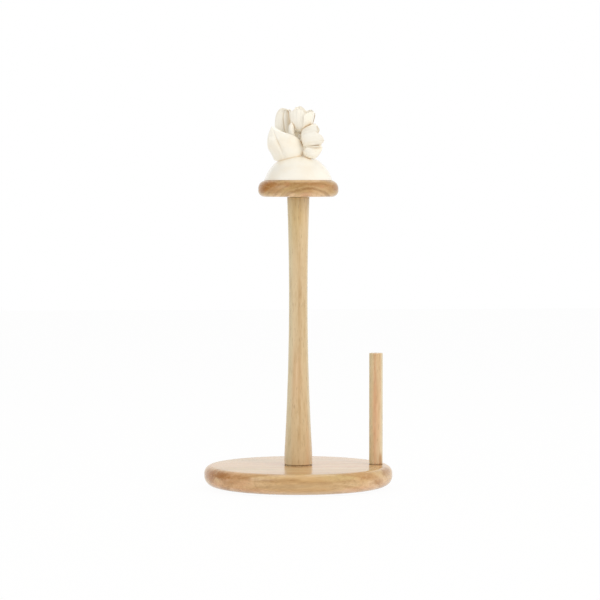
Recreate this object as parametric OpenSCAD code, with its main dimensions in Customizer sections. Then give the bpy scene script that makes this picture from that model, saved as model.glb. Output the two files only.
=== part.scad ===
// Upright paper towel holder: a round wooden base with a waisted centre post and a short guard
// dowel, under a wooden cap that screws off with its porcelain finial of leaves and blossoms.
// Millimetres, +Z up. The origin is the centre of the footprint, on the table.

/* [Base] */
// Diameter of the base disc
base_d = 200; // [170:1:230]
// Thickness of the base disc
base_t = 21.5; // [20:0.5:28]
// Radius of the base's upper edge
base_top_round = 8.2; // [2:0.1:9]
// Radius of the base's lower edge
base_low_round = 10.8; // [2:0.1:11]

/* [Post] */
// Clear height for the roll, from the base to the underside of the cap
clear_h = 285; // [240:1:320]
// Radius of the post's foot
post_foot_r = 14.8; // [13:0.1:18]
// Radius that the lower hollow would reach at the base, before the foot straightens
post_flare_r = 15.6; // [13:0.1:19]
// Height over which the foot straightens
post_ease_h = 17; // [0:1:30]
// Radius of the post at its waist
post_waist_r = 9.9; // [9:0.1:12]
// Radius of the post's head
post_head_r = 11.9; // [11:0.1:14]
// Height of the waist above the base
post_waist_h = 180; // [120:1:220]

/* [Guard] */
// Diameter of the guard dowel
guard_d = 14.5; // [12:0.1:16]
// Height of the guard dowel above the base
guard_h = 119; // [80:1:200]
// Distance from the post's axis to the guard's axis
guard_offset = 83; // [76:1:84]

/* [Cap] */
// Diameter of the cap disc
cap_d = 85; // [74:0.5:100]
// Thickness of the cap disc
cap_t = 17.6; // [16:0.1:22]
// Radius of the cap's upper edge
cap_top_round = 8.8; // [2:0.1:9]
// Radius of the cap's lower edge
cap_low_round = 7; // [2:0.1:7]

/* [Finial] */
// Angle that the finial faces when the cap is screwed down
finial_turn = -5; // [-180:5:180]

/* [Hardware] */
// Major diameter of the cap's threaded rod
rod_d = 8; // [6:1:8]
// Pitch of the rod's thread
rod_pitch = 1.25; // [1:0.25:1.5]
// Turns of the cap that free the rod from the post
rod_turns = 10; // [6:1:12]
// Diameter of each rubber foot
foot_d = 14; // [10:1:18]
// Height of each rubber foot
foot_h = 2; // [1.5:0.5:4]

/* [Hidden] */
$fn = 96;
ARC_STEPS = 12;
SMALL_CHAMFER = 0.8;
SLIP = 0.05;       // running clearance between a shaft and its hole
GLUE_GAP = 0.1;    // room for glue round a seated piece
CUT = 1;           // how far a cutting shape runs past the face that it opens

WOOD = "#d9b384";
CAP_WOOD = "#b98f5e";
PORCELAIN = "#f7f1df";
STEEL = "#b9bcc0";
BRASS = "#c9a653";
RUBBER = "#3a3a3c";
NYLON = "#e9e6dc";
RESIN = "#d8cfae";

wear_washer_r = 9.6;
wear_washer_t = 0.8;
washer_recess_r = 10;
washer_recess_h = 0.5;
rod_room = 0.3;    // clearance of the cap's rod in the wood and the nylon washer

base_z = foot_h;
base_top = base_z + base_t;
cap_z = base_top + clear_h;
cap_top = cap_z + cap_t;
rod_reach = rod_turns * rod_pitch;

foot_ring_r = 62;
post_h = clear_h - wear_washer_t + washer_recess_h;
head_floor_h = post_h - washer_recess_h;   // height above the base at which the washer lies
post_seat_depth = 6;
post_steps = 40;   // steps of the turned profile above the base
tip_room = 4;      // bored depth past each insert, for the end of its screw
insert_r = 6;
insert_l = 16;
insert_flange_r = 7.5;
insert_flange_t = 1;
insert_bore_r = rod_d / 2 + SLIP;

bolt_shank_r = 4;
bolt_hole_r = 4.5;
bolt_head_r = 8;
bolt_head_t = 3.5;
bolt_key_r = 2.9;  // across the corners of the hexagon key socket
bolt_key_depth = 2.5;
bolt_washer_r = 11;
bolt_washer_t = 1.6;
bolt_recess_r = 12;
bolt_recess_h = 6.5;
bolt_reach = 12;   // how far the bolt stands into the post's foot insert

guard_seat_depth = 8;
screw_r = 2.1;
screw_head_r = 4.2;
screw_head_t = 2.6;
screw_l = 30;
screw_point_l = 4;
screw_sink = 0.5;       // depth of the screw's head above the base's underside
screw_grip = 20;        // how far the pilot hole runs up the dowel
screw_slot = [4.4, 0.9, 1.4];   // length, width and depth of each slot of the cross recess

cap_recess_r = 9;
cap_recess_h = 10;
cap_nut_flats = 13;
cap_nut_t = 6.4;
cap_washer_r = 8.4;
cap_washer_t = 1.5;
foot_bevel = 0.8;

dome_r = 37.2;      // sphere that the dome is cut from
dome_sink = 9.6;    // depth of its centre below the cap's top
dome_wall = 4;
plug_r = 13;
plug_bottom = 8;    // height of the plug's lower face above the cap's top
rod_rise = 17;      // how far the rod stands above the cap's top, into the plug
petal_places = 6;   // places across each petal of a blossom
petal_notch = 0.14; // share of a petal's height that its edges fall short of its tip
petal_lap = 0.9;    // how far a petal's edges lie outside and inside its neighbours'
petal_t = 1.6;      // thickness of a blossom's wall
upper_base = [3, -4, 50];   // bases of the three blossoms, from the cap's top
side_base = [5, -11.5, 43];
back_base = [-2, 7, 44];

// ---------------------------------------------------------------- profiles

// Points of a quarter circle from angle a0 to a1 about a centre.
function arc(cx, cy, r, a0, a1) =
    [for (k = [0:ARC_STEPS]) let (a = a0 + (a1 - a0) * k / ARC_STEPS)
        [cx + r * cos(a), cy + r * sin(a)]];

// A turned disc with a rounded lower and upper edge, from z = 0.
module rounded_disc(r, t, low, top) {
    rotate_extrude()
        polygon(concat([[0, 0]], arc(r - low, low, low, -90, 0),
            arc(r - top, t - top, top, 0, 90), [[0, t]]));
}

// Radius of the post at height h above the base: one long hollow arc on each side of the waist,
// the lower one straightened at the foot.
function hollow(end_r, run, d) =
    let (sag = end_r - post_waist_r, big = (run * run + sag * sag) / (2 * sag))
        post_waist_r + big - sqrt(big * big - d * d);
function post_radius(h) = h < post_waist_h
    ? hollow(post_flare_r, post_waist_h, post_waist_h - h)
        - (post_flare_r - post_foot_r) * pow(max(0, 1 - h / post_ease_h), 2)
    : hollow(post_head_r, post_h - post_waist_h, h - post_waist_h);

module ring(r_out, r_in, t) {
    difference() {
        cylinder(r = r_out, h = t);
        translate([0, 0, -CUT]) cylinder(r = r_in, h = t + 2 * CUT);
    }
}

// A flanged insert with its bore along Z, from z = 0.
module threaded_insert() {
    difference() {
        union() {
            cylinder(r = insert_r, h = insert_l);
            translate([0, 0, insert_l - insert_flange_t])
                cylinder(r = insert_flange_r, h = insert_flange_t);
        }
        translate([0, 0, -CUT]) cylinder(r = insert_bore_r, h = insert_l + 2 * CUT);
    }
}

// The hole that a threaded insert is driven into, opening upwards at z = 0.
module insert_hole() {
    translate([0, 0, -insert_l]) cylinder(r = insert_r, h = insert_l + CUT);
    translate([0, 0, -insert_flange_t]) cylinder(r = insert_flange_r, h = insert_flange_t + CUT);
}

// ---------------------------------------------------------------- base

module base_disc() {
    color(WOOD) translate([0, 0, base_z]) difference() {
        rounded_disc(base_d / 2, base_t, base_low_round, base_top_round);
        translate([0, 0, -CUT]) cylinder(r = bolt_recess_r, h = bolt_recess_h + CUT);
        cylinder(r = bolt_hole_r, h = base_t);
        translate([0, 0, base_t - post_seat_depth])
            cylinder(r = post_foot_r + GLUE_GAP, h = post_seat_depth + CUT);
        translate([guard_offset, 0, 0]) {
            translate([0, 0, base_t - guard_seat_depth])
                cylinder(r = guard_d / 2 + GLUE_GAP, h = guard_seat_depth + CUT);
            translate([0, 0, -CUT]) cylinder(r = screw_r + 4 * GLUE_GAP, h = base_t);
            translate([0, 0, -CUT])
                cylinder(r = screw_head_r + 2 * GLUE_GAP, h = screw_head_t + screw_sink + CUT);
        }
    }
}

// Turned post: its foot stands in the base, and an insert is driven into each end.
module centre_post() {
    color(WOOD) translate([0, 0, base_top]) difference() {
        rotate_extrude()
            polygon(concat(
                [[0, -post_seat_depth], [post_foot_r, -post_seat_depth]],
                [for (k = [0:post_steps]) let (h = (post_h - SMALL_CHAMFER / 2) * k / post_steps)
                    [post_radius(h), h]],
                [[post_head_r - SMALL_CHAMFER / 2, post_h], [0, post_h]]));
        translate([0, 0, head_floor_h]) cylinder(r = washer_recess_r, h = washer_recess_h + CUT);
        translate([0, 0, head_floor_h]) insert_hole();
        translate([0, 0, head_floor_h - insert_l - tip_room])
            cylinder(r = rod_d / 2 + rod_room, h = tip_room + CUT);
        translate([0, 0, -post_seat_depth]) mirror([0, 0, 1]) insert_hole();
        translate([0, 0, -post_seat_depth]) cylinder(r = bolt_hole_r, h = insert_l + tip_room);
    }
}

module guard_dowel() {
    r = guard_d / 2;
    color(WOOD) translate([guard_offset, 0, base_top - guard_seat_depth]) difference() {
        union() {
            cylinder(r = r, h = guard_h + guard_seat_depth - SMALL_CHAMFER);
            translate([0, 0, guard_h + guard_seat_depth - SMALL_CHAMFER])
                cylinder(r1 = r, r2 = r - SMALL_CHAMFER, h = SMALL_CHAMFER);
        }
        translate([0, 0, -CUT]) cylinder(r = screw_r, h = screw_grip + CUT);
    }
}

module post_foot_insert() {
    color(BRASS) translate([0, 0, base_top - post_seat_depth + insert_l]) mirror([0, 0, 1])
        threaded_insert();
}

// Connector bolt from below, with a hexagon key socket in its flat head.
module post_bolt() {
    head_z = base_z + bolt_recess_h - bolt_washer_t;
    color(STEEL) difference() {
        union() {
            translate([0, 0, head_z - bolt_head_t]) cylinder(r = bolt_head_r, h = bolt_head_t);
            translate([0, 0, head_z])
                cylinder(r = bolt_shank_r, h = base_top - post_seat_depth + bolt_reach - head_z);
        }
        translate([0, 0, head_z - bolt_head_t - CUT])
            cylinder(r = bolt_key_r, h = bolt_key_depth + CUT, $fn = 6);
    }
}

module post_bolt_washer() {
    color(STEEL) translate([0, 0, base_z + bolt_recess_h - bolt_washer_t])
        ring(bolt_washer_r, bolt_hole_r, bolt_washer_t);
}

// Countersunk wood screw that holds the guard dowel.
module guard_screw() {
    shank_l = screw_l - screw_point_l;
    color(STEEL) translate([guard_offset, 0, base_z + screw_sink]) difference() {
        union() {
            cylinder(r1 = screw_head_r, r2 = screw_r, h = screw_head_t);
            cylinder(r = screw_r, h = shank_l);
            translate([0, 0, shank_l]) cylinder(r1 = screw_r, r2 = 0.4, h = screw_point_l);
        }
        for (turn = [0, 90]) rotate([0, 0, turn])
            translate([-screw_slot[0] / 2, -screw_slot[1] / 2, -CUT])
                cube(screw_slot + [0, 0, CUT]);
    }
}

// One rubber foot, at an angle round the base.
module foot(angle) {
    rotate([0, 0, angle]) translate([foot_ring_r, 0, 0]) color(RUBBER) {
        cylinder(r1 = foot_d / 2 - foot_bevel, r2 = foot_d / 2, h = foot_bevel);
        translate([0, 0, foot_bevel]) cylinder(r = foot_d / 2, h = foot_h - foot_bevel);
    }
}

module foot_front_right() { foot(-45); }
module foot_back_right() { foot(45); }
module foot_back_left() { foot(135); }
module foot_front_left() { foot(-135); }

// ---------------------------------------------------------------- cap

module post_head_insert() {
    color(BRASS) translate([0, 0, base_top + head_floor_h - insert_l]) threaded_insert();
}

// Nylon washer that lies loose in the post's head, for the cap to turn on.
module wear_washer() {
    color(NYLON) translate([0, 0, cap_z - wear_washer_t])
        ring(wear_washer_r, rod_d / 2 + rod_room, wear_washer_t);
}

module cap_disc() {
    color(CAP_WOOD) translate([0, 0, cap_z]) difference() {
        rounded_disc(cap_d / 2, cap_t, cap_low_round, cap_top_round);
        translate([0, 0, -CUT]) cylinder(r = cap_recess_r, h = cap_recess_h + CUT);
        cylinder(r = rod_d / 2 + rod_room, h = cap_t + CUT);
    }
}

// Threaded rod, each thread a raised ring of the true pitch and depth.
module cap_rod() {
    root_r = rod_d / 2 - 0.61 * rod_pitch;
    length = rod_reach + cap_t + rod_rise;
    threads = floor(length / rod_pitch) - 1;
    color(STEEL) translate([0, 0, cap_z - rod_reach]) rotate_extrude()
        polygon(concat([[0, 0], [root_r, 0]],
            [for (k = [0:threads - 1]) each [
                [root_r, (k + 0.5) * rod_pitch],
                [rod_d / 2, (k + 0.9) * rod_pitch],
                [rod_d / 2, (k + 1.1) * rod_pitch]]],
            [[root_r, (threads + 0.5) * rod_pitch], [root_r, length], [0, length]]));
}

module cap_washer() {
    color(STEEL) translate([0, 0, cap_z + cap_recess_h - cap_washer_t])
        ring(cap_washer_r, rod_d / 2 + rod_room, cap_washer_t);
}

module cap_nut() {
    color(STEEL) translate([0, 0, cap_z + cap_recess_h - cap_washer_t - cap_nut_t])
        difference() {
            cylinder(r = cap_nut_flats / 2 / cos(30), h = cap_nut_t, $fn = 6);
            translate([0, 0, -CUT]) cylinder(r = rod_d / 2 + SLIP, h = cap_nut_t + 2 * CUT);
        }
}

// ---------------------------------------------------------------- finial

// Slip-cast dome, hollow below, that stands on the cap.
module finial_dome() {
    color(PORCELAIN) translate([0, 0, cap_top]) intersection() {
        difference() {
            translate([0, 0, -dome_sink]) sphere(r = dome_r);
            translate([0, 0, -dome_sink]) sphere(r = dome_r - dome_wall);
        }
        cylinder(r = dome_r, h = dome_r);
    }
}

// Resin plug in the dome's crown, cast round the rod's end.
module finial_plug() {
    color(RESIN) translate([0, 0, cap_top]) difference() {
        intersection() {
            translate([0, 0, -dome_sink]) sphere(r = dome_r - dome_wall - SLIP);
            translate([0, 0, plug_bottom]) cylinder(r = plug_r, h = dome_r);
        }
        cylinder(r = rod_d / 2 + SLIP, h = rod_rise + SLIP);
    }
}

function mix(a, b, t) = a + (b - a) * t;
function unit(v) = v / norm(v);
function bezier(p, t) = let (s = 1 - t)
    s * s * s * p[0] + 3 * s * s * t * p[1] + 3 * s * t * t * p[2] + t * t * t * p[3];
function slope(p, t) = let (s = 1 - t)
    s * s * (p[1] - p[0]) + 2 * s * t * (p[2] - p[1]) + t * t * (p[3] - p[2]);

// Closed skin over rings that all have the same number of points.
module skin(rings) {
    n = len(rings[0]);
    last = len(rings) - 1;
    polyhedron(
        points = [for (r = rings) each r],
        faces = concat(
            [[for (k = [0:n - 1]) k]],
            [for (i = [0:last - 1], k = [0:n - 1]) let (a = i * n + k, b = i * n + (k + 1) % n)
                each [[a, a + n, b + n], [a, b + n, b]]],
            [[for (k = [n - 1:-1:0]) last * n + k]]),
        convexity = 6);
}

// Places across a blade, from -1 to 1, closer together at the midrib.
function across(steps) = [for (k = [-steps:steps]) sign(k) * pow(abs(k) / steps, 1.5)];

// Share of a blade's full width at t along it: foot at its base, 1 at wide, 0 at its tip.
function outline(t, wide, foot, tip) = t < wide
    ? mix(foot, 1, pow(sin(90 * t / wide), 0.7))
    : pow(cos(90 * (t - wide) / (1 - wide)), tip);

// One ring of a blade: its outer face from edge to edge, then its inner face. spine is a cubic
// curve, and side the direction across the blade at each end of it. The blade is wrapped to the
// radius wrap, with a groove along its midrib, and skew widens one side of its foot.
function blade_ring(spine, side, half, wide, foot, tip, thick, wrap, groove, skew, t, places) =
    let (
        along = unit(slope(spine, t)),
        rough = mix(side[0], side[1], t),
        over = unit(rough - along * (rough * along)),
        face = cross(over, along),
        w = half * outline(t, wide, foot, tip) + 0.35,
        centre = bezier(spine, t),
        fade = sin(180 * min(1, t * 1.1))
    )
    [for (f = [1, -1], v = (f > 0 ? places : [for (k = [len(places) - 2:-1:1]) places[k]]))
        let (
            a = v * w * (1 + skew * (1 - t) * sign(v)) / wrap * 180 / PI,
            normal = face * cos(a) + over * sin(a),
            lift = f * thick * (1 - pow(abs(v), 4)) * (0.5 + 0.5 * fade)
                - groove * fade * exp(-pow(v / 0.1, 2))
        )
        centre + over * wrap * sin(a) - face * wrap * (1 - cos(a)) + normal * lift];

// A leaf as one closed solid.
module blade(spine, side, half, wide, foot, tip, thick, wrap, groove, steps, skew = 0) {
    skin([for (k = [0:steps]) blade_ring(spine, side, half, wide, foot, tip, thick, wrap,
        groove, skew, k / steps * 0.985, across(6))]);
}

// A round stem or bud whose radius is a list of values along a cubic curve.
module taper_tube(spine, radii, sides = 10) {
    last = len(radii) - 1;
    skin([for (i = [0:last]) let (
            t = i / last,
            along = unit(slope(spine, t)),
            over = unit(cross(along, [0, 1, 0.1])),
            up = cross(along, over))
        [for (k = [0:sides - 1]) bezier(spine, t)
            + radii[i] * (over * cos(360 * k / sides) + up * sin(360 * k / sides))]]);
}

// Places on the finial are measured from the centre of the cap's top.
module on_cap() {
    color(PORCELAIN) rotate([0, 0, finial_turn]) translate([0, 0, cap_top]) children();
}

module front_leaf() {
    on_cap() blade([[-13.5, -13, 20.5], [-17, -19, 33], [-24, -29, 42], [-27.5, -9, 57]],
        [[0.95, -0.3, 0.1], [0.95, -0.25, 0]],
        half = 21.5, wide = 0.22, foot = 0.85, tip = 1, thick = 1.3, wrap = 20, groove = 1.6,
        steps = 18, skew = 0.17);
}

module tall_leaf() {
    on_cap() blade([[-6, -1, 24], [-13, -2, 42], [-22, 1, 80], [-9.5, -9, 74]],
        [[1, -0.1, 0.1], [0.9, 0.1, -0.1]],
        half = 10, wide = 0.45, foot = 0.5, tip = 1.05, thick = 1.1, wrap = 16, groove = 1.5,
        steps = 18);
}

module right_leaf() {
    on_cap() blade([[7, -12.5, 25], [9.5, -20, 29.5], [18.5, -23, 27.5], [25, -14, 34.5]],
        [[0.5, 0.2, -0.85], [0.2, 0.3, -0.9]],
        half = 7.3, wide = 0.5, foot = 0.55, tip = 0.7, thick = 1.2, wrap = 11, groove = 0.3,
        steps = 14);
}

module back_leaf() {
    on_cap() blade([[4, 13, 22], [5, 28, 25], [15, 32, 38], [19, 14, 52]],
        [[-0.95, 0.25, 0.1], [-0.9, 0.3, 0.2]],
        half = 17, wide = 0.4, foot = 0.68, tip = 0.85, thick = 1.3, wrap = 17, groove = 1.6,
        steps = 16);
}

// A place on the wall of a blossom that opens along +Z. Each petal is [lip radius, lip height,
// point], and point shapes its end: 1 is pointed and 3 is round. cup is how far the wall starts
// to rise: below 0 is a full cup, above 0 a slender one. s runs across petal k from -1 to 1, t from
// the base to the lip, and the petal's edge at s = -1 lies outside its neighbour's.
function petal_wall(petals, turn, cup, k, s, t, inward) =
    let (
        n = len(petals),
        own = petals[k],
        beside = petals[(k + (s < 0 ? n - 1 : 1)) % n],
        share = s * s / 2,
        lip_r = mix(own[0], beside[0], share),
        lip_h = mix(own[1], beside[1], share) * (1 - petal_notch * pow(abs(s), own[2])),
        place = bezier([[2.5, 0], [lip_r * (0.9 - cup * 0.05), cup], [lip_r * 0.92, lip_h * 0.5],
            [lip_r, lip_h]], t),
        r = place[0] - petal_lap * s * t - inward * (0.6 + 0.4 * t),
        a = turn + 360 / n * (k + s / 2)
    )
    [r * cos(a), r * sin(a), place[1] + inward * (1 - t)];

function blossom_ring(petals, turn, cup, t, inward) =
    [for (k = [0:len(petals) - 1], j = [0:petal_places - 1])
        petal_wall(petals, turn, cup, k, -1 + 1.8 * j / (petal_places - 1), t, inward)];

module blossom(petals, turn, cup, steps = 6) {
    skin(concat(
        [for (i = [0:steps]) blossom_ring(petals, turn, cup, i / steps, 0)],
        [for (i = [steps:-1:0]) blossom_ring(petals, turn, cup, i / steps, petal_t)]));
}

module upper_blossom() {
    on_cap() translate(upper_base) rotate([6, 2, 0])
        blossom([[13, 26.5, 3], [15.5, 24, 1.6], [12.5, 24.5, 2], [12.5, 27.5, 3], [14, 24.5, 3]],
            turn = -111, cup = 2.5);
}

module side_blossom() {
    on_cap() translate(side_base) rotate([16, 80, 0])
        blossom([[14, 19.5, 3], [14, 26.5, 1.6], [12, 19, 3], [12, 18, 3], [13.5, 17, 3]],
            turn = -146, cup = -2);
}

module back_blossom() {
    on_cap() translate(back_base) rotate([-58, -20, 0])
        blossom([[12, 22, 3], [13, 21, 2], [12, 22, 3], [13, 22, 2], [12, 23, 3]],
            turn = -100, cup = -1);
}

module flower_bud() {
    on_cap() taper_tube([[-1, -7, 35], [-5, -13, 40], [-9, -13, 50], [-7, -11.5, 60.5]],
        [1.4, 1.5, 1.7, 2.1, 2.6, 3, 3.1, 2.8, 1.2], sides = 12);
}

// A stem from the crown of the dome to a blossom's base.
module stem(route) {
    on_cap() taper_tube(route, [3.4, 2.6, 2.1, 2, 2.1], sides = 12);
}

module upper_stem() { stem([[2, -4, 24.7], [-1, -6, 34], [-1, -7, 42], upper_base]); }
module side_stem() { stem([[0, -5, 25.3], [-3, -9, 30], [-2, -9, 38], side_base]); }
module back_stem() { stem([[0, 4, 24.6], [1, 6, 32], [0, 7, 38], back_base]); }

base_disc();
centre_post();
guard_dowel();
post_foot_insert();
post_bolt();
post_bolt_washer();
guard_screw();
foot_front_right();
foot_back_right();
foot_back_left();
foot_front_left();
post_head_insert();
wear_washer();
cap_disc();
cap_rod();
cap_washer();
cap_nut();
finial_dome();
finial_plug();
front_leaf();
tall_leaf();
right_leaf();
back_leaf();
upper_blossom();
side_blossom();
back_blossom();
flower_bud();
upper_stem();
side_stem();
back_stem();
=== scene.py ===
"""Dresses the paper towel holder: turned wood, a porcelain finial and the hardware between them.

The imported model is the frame. Places on the finial are in millimetres from the centre of the cap's
top, before the finial is turned to its front; everything else is in metres in the frame's own axes.
"""

import logging
from dataclasses import dataclass, field
from enum import Enum
from math import acos, asin, copysign, cos, degrees, exp, pi, radians, sin, sqrt
from typing import Any, Callable, Sequence, Union

import bmesh
import bpy
from mathutils import Euler, Matrix, Vector
from mathutils.bvhtree import BVHTree


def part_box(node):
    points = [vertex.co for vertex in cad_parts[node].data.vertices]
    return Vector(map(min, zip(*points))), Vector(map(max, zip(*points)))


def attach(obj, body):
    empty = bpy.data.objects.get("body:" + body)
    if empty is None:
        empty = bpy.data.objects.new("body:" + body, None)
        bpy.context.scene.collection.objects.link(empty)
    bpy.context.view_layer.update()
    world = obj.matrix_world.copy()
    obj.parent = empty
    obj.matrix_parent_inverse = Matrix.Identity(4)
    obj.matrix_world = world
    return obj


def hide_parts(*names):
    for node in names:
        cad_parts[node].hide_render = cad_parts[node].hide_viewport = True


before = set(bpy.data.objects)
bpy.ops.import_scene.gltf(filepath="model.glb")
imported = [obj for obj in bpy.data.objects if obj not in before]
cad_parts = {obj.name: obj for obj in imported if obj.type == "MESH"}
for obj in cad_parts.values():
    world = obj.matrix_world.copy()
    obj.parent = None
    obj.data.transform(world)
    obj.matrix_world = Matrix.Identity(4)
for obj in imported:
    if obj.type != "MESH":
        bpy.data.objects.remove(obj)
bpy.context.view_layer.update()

LOG = logging.getLogger("holder")
MM = 0.001
TURN = 2 * pi
SPECK = 1e-6  # a radius or an edge shorter than this counts as none
PAST = 0.001  # how far a cutter stands out of the piece that it cuts
SHARP = 35.0  # an edge that bends by more degrees than this is shaded as an edge
Piece = bpy.types.Object
Material = bpy.types.Material
Socket = bpy.types.NodeSocket
Triple = tuple[float, float, float]
Colour = Triple
Profile = list[tuple[float, float]]


# ---- small maths


def mix(a: Any, b: Any, t: float) -> Any:
    """The value that lies the share t of the way from a to b."""
    return a + (b - a) * t


def smooth(low: float, high: float, value: float) -> float:
    """Rises smoothly from 0 at low to 1 at high."""
    t = min(1.0, max(0.0, (value - low) / (high - low)))
    return t * t * (3 - 2 * t)


def polar(radius: float, angle: float, height: float = 0.0) -> Vector:
    """The point at a distance and an angle from the Z axis, at a height."""
    return Vector((radius * cos(angle), radius * sin(angle), height))


def bezier(points: Sequence[Any], t: float) -> Any:
    """The point at t of the cubic curve that four control points, or four numbers, make."""
    s = 1 - t
    return points[0] * s**3 + points[1] * (3 * s * s * t) + points[2] * (3 * s * t * t) + points[3] * t**3


def slope(points: Sequence[Vector], t: float) -> Vector:
    """The direction of a cubic curve.

    Args:
        points: The curve's four control points.
        t: Share of the way along it.

    Returns:
        The unit direction at t.
    """
    s = 1 - t
    runs = [after - point for point, after in zip(points, points[1:])]
    return (runs[0] * s * s + runs[1] * 2 * s * t + runs[2] * t * t).normalized()


def arc(centre: tuple[float, float], radius: float, start: float, stop: float, steps: int) -> Profile:
    """Points of a circular arc in a turned profile.

    Args:
        centre: The arc's centre, as distance from the axis and height.
        radius: The arc's radius.
        start: First angle in degrees, from straight out and anticlockwise.
        stop: Last angle in degrees.
        steps: Number of chords.

    Returns:
        The points as (distance from the axis, height).
    """
    angles = [radians(mix(start, stop, k / steps)) for k in range(steps + 1)]
    return [(centre[0] + radius * cos(a), centre[1] + radius * sin(a)) for a in angles]


def linear(colour: Colour) -> tuple[float, float, float, float]:
    """Turns a display colour into the shader's linear values.

    Args:
        colour: Red, green and blue from 0 to 255.

    Returns:
        The linear values, with an alpha of 1.
    """
    shares = [c / 255 for c in colour]
    values = [s / 12.92 if s <= 0.04045 else ((s + 0.055) / 1.055) ** 2.4 for s in shares]
    return (values[0], values[1], values[2], 1.0)


# ---- meshes


@dataclass
class Shell:
    """Points and faces of a piece in the making; each method that adds to it returns it."""

    points: list[Vector] = field(default_factory=list)
    faces: list[tuple[int, ...]] = field(default_factory=list)

    def rings(self, rings: Sequence[Sequence[Vector]], loop: bool = False) -> "Shell":
        """Adds a skin over rings that all have the same number of points, or one point at a pole.

        Args:
            rings: The rings, each as a closed loop of points.
            loop: Whether the last ring joins the first one; otherwise both ends are closed.

        Returns:
            The shell.
        """
        spots: list[range] = []
        for ring in rings:
            spots.append(range(len(self.points), len(self.points) + len(ring)))
            self.points.extend(ring)
        for low, high in zip(spots, spots[1:] + (spots[:1] if loop else [])):
            count = max(len(low), len(high))
            for k in range(count):
                n = (k + 1) % count
                corners = (low[k % len(low)], low[n % len(low)], high[n % len(high)], high[k % len(high)])
                self.faces.append(tuple(dict.fromkeys(corners)))
        ends = [] if loop else [spots[0][::-1], spots[-1]]
        self.faces.extend(tuple(end) for end in ends if len(end) > 1)
        return self

    def turned(self, profile: Profile, segments: int, foot: Vector, loop: bool = False) -> "Shell":
        """Adds a turned body, its profile going anticlockwise round the solid's right half.

        Args:
            profile: Points as (distance from the axis, height); an end at distance 0 is a pole.
            segments: Number of facets round the axis.
            foot: Foot of the axis.
            loop: Whether the profile closes on itself, as for a body with a bore.

        Returns:
            The shell.
        """
        rings = []
        for radius, height in profile:
            count = segments if radius > SPECK else 1
            rings.append([foot + polar(radius, TURN * k / segments, height) for k in range(count)])
        return self.rings(rings, loop)

    def sheet(self, middle: list[list[Vector]], half: list[list[float]]) -> "Shell":
        """Adds a closed solid on both sides of a curved sheet.

        Args:
            middle: Rows of points on the sheet's middle surface.
            half: Half of the sheet's thickness at each of those points.

        Returns:
            The shell.
        """
        rows, cols = len(middle), len(middle[0])
        start, back = len(self.points), rows * cols
        for side in (1, -1):
            for i in range(rows):
                for j in range(cols):
                    down = middle[min(i + 1, rows - 1)][j] - middle[max(i - 1, 0)][j]
                    over = middle[i][min(j + 1, cols - 1)] - middle[i][max(j - 1, 0)]
                    self.points.append(middle[i][j] + down.cross(over).normalized() * (side * half[i][j]))
        for i in range(rows - 1):
            for j in range(cols - 1):
                a = start + i * cols + j
                b = a + back
                self.faces.append((a, a + cols, a + cols + 1, a + 1))
                self.faces.append((b, b + 1, b + cols + 1, b + cols))
        rim = [(0, j) for j in range(cols - 1)] + [(i, cols - 1) for i in range(rows - 1)]
        rim += [(rows - 1, j) for j in range(cols - 1, 0, -1)] + [(i, 0) for i in range(rows - 1, 0, -1)]
        for (i, j), (m, n) in zip(rim, rim[1:] + rim[:1]):
            a, b = start + i * cols + j, start + m * cols + n
            self.faces.append((a, b, b + back, a + back))
        return self

    def tube(self, route: Callable[[float], Vector], radius: Callable[[float, float], float],
             steps: int, sides: int) -> "Shell":
        """Adds a round body along a curved route, closed at both ends.

        Args:
            route: The centre line at t from 0 to 1.
            radius: The radius at t and at an angle round the route.
            steps: Number of stretches along it.
            sides: Number of points round it.

        Returns:
            The shell.
        """
        near = 1e-3
        over = Vector((1, 0, 0))
        rings = []
        for i in range(steps + 1):
            t = i / steps
            along = (route(min(1, t + near)) - route(max(0, t - near))).normalized()
            over = (over - along * over.dot(along)).normalized()
            up = along.cross(over)
            rings.append([route(t) + (over * cos(a) + up * sin(a)) * radius(t, a)
                          for a in (TURN * k / sides for k in range(sides))])
        return self.rings(rings)

    def moved(self, place: Matrix) -> "Shell":
        """Moves every point by a matrix."""
        self.points = [place @ p for p in self.points]
        return self

    def piece(self, name: str, sharp: float = SHARP) -> Piece:
        """Turns the shell into an object.

        Args:
            name: Name of the piece.
            sharp: Edges that bend by more than this many degrees are shaded as edges.

        Returns:
            The new object, at the origin.
        """
        mesh = bpy.data.meshes.new(name)
        mesh.from_pydata([tuple(p) for p in self.points], [], self.faces)
        rework(mesh, lambda work: bmesh.ops.recalc_face_normals(work, faces=work.faces))
        item = placed(name, mesh)
        shade(item, sharp)
        return item


def placed(name: str, data: bpy.types.ID) -> Piece:
    """Puts a new object into the scene.

    Args:
        name: Name of the object.
        data: Its mesh, lamp or camera.

    Returns:
        The object.
    """
    item = bpy.data.objects.new(name, data)
    bpy.context.scene.collection.objects.link(item)
    return item


def shade(item: Piece, sharp: float) -> None:
    """Shades a mesh smooth, apart from edges that bend by more than sharp degrees."""
    item.data.shade_smooth()
    item.data.set_sharp_from_angle(angle=radians(sharp))


def rework(mesh: bpy.types.Mesh, change: Callable[[bmesh.types.BMesh], Any]) -> None:
    """Opens a mesh, changes it and writes it back.

    Args:
        mesh: The mesh.
        change: What is done to it while it is open.
    """
    work = bmesh.new()
    work.from_mesh(mesh)
    change(work)
    work.to_mesh(mesh)
    work.free()


def mend(work: bmesh.types.BMesh) -> None:
    """Splits faces with more than four corners and dissolves edges without length."""
    bmesh.ops.triangulate(work, faces=[face for face in work.faces if len(face.verts) > 4])
    bmesh.ops.dissolve_degenerate(work, dist=SPECK, edges=work.edges)


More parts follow.
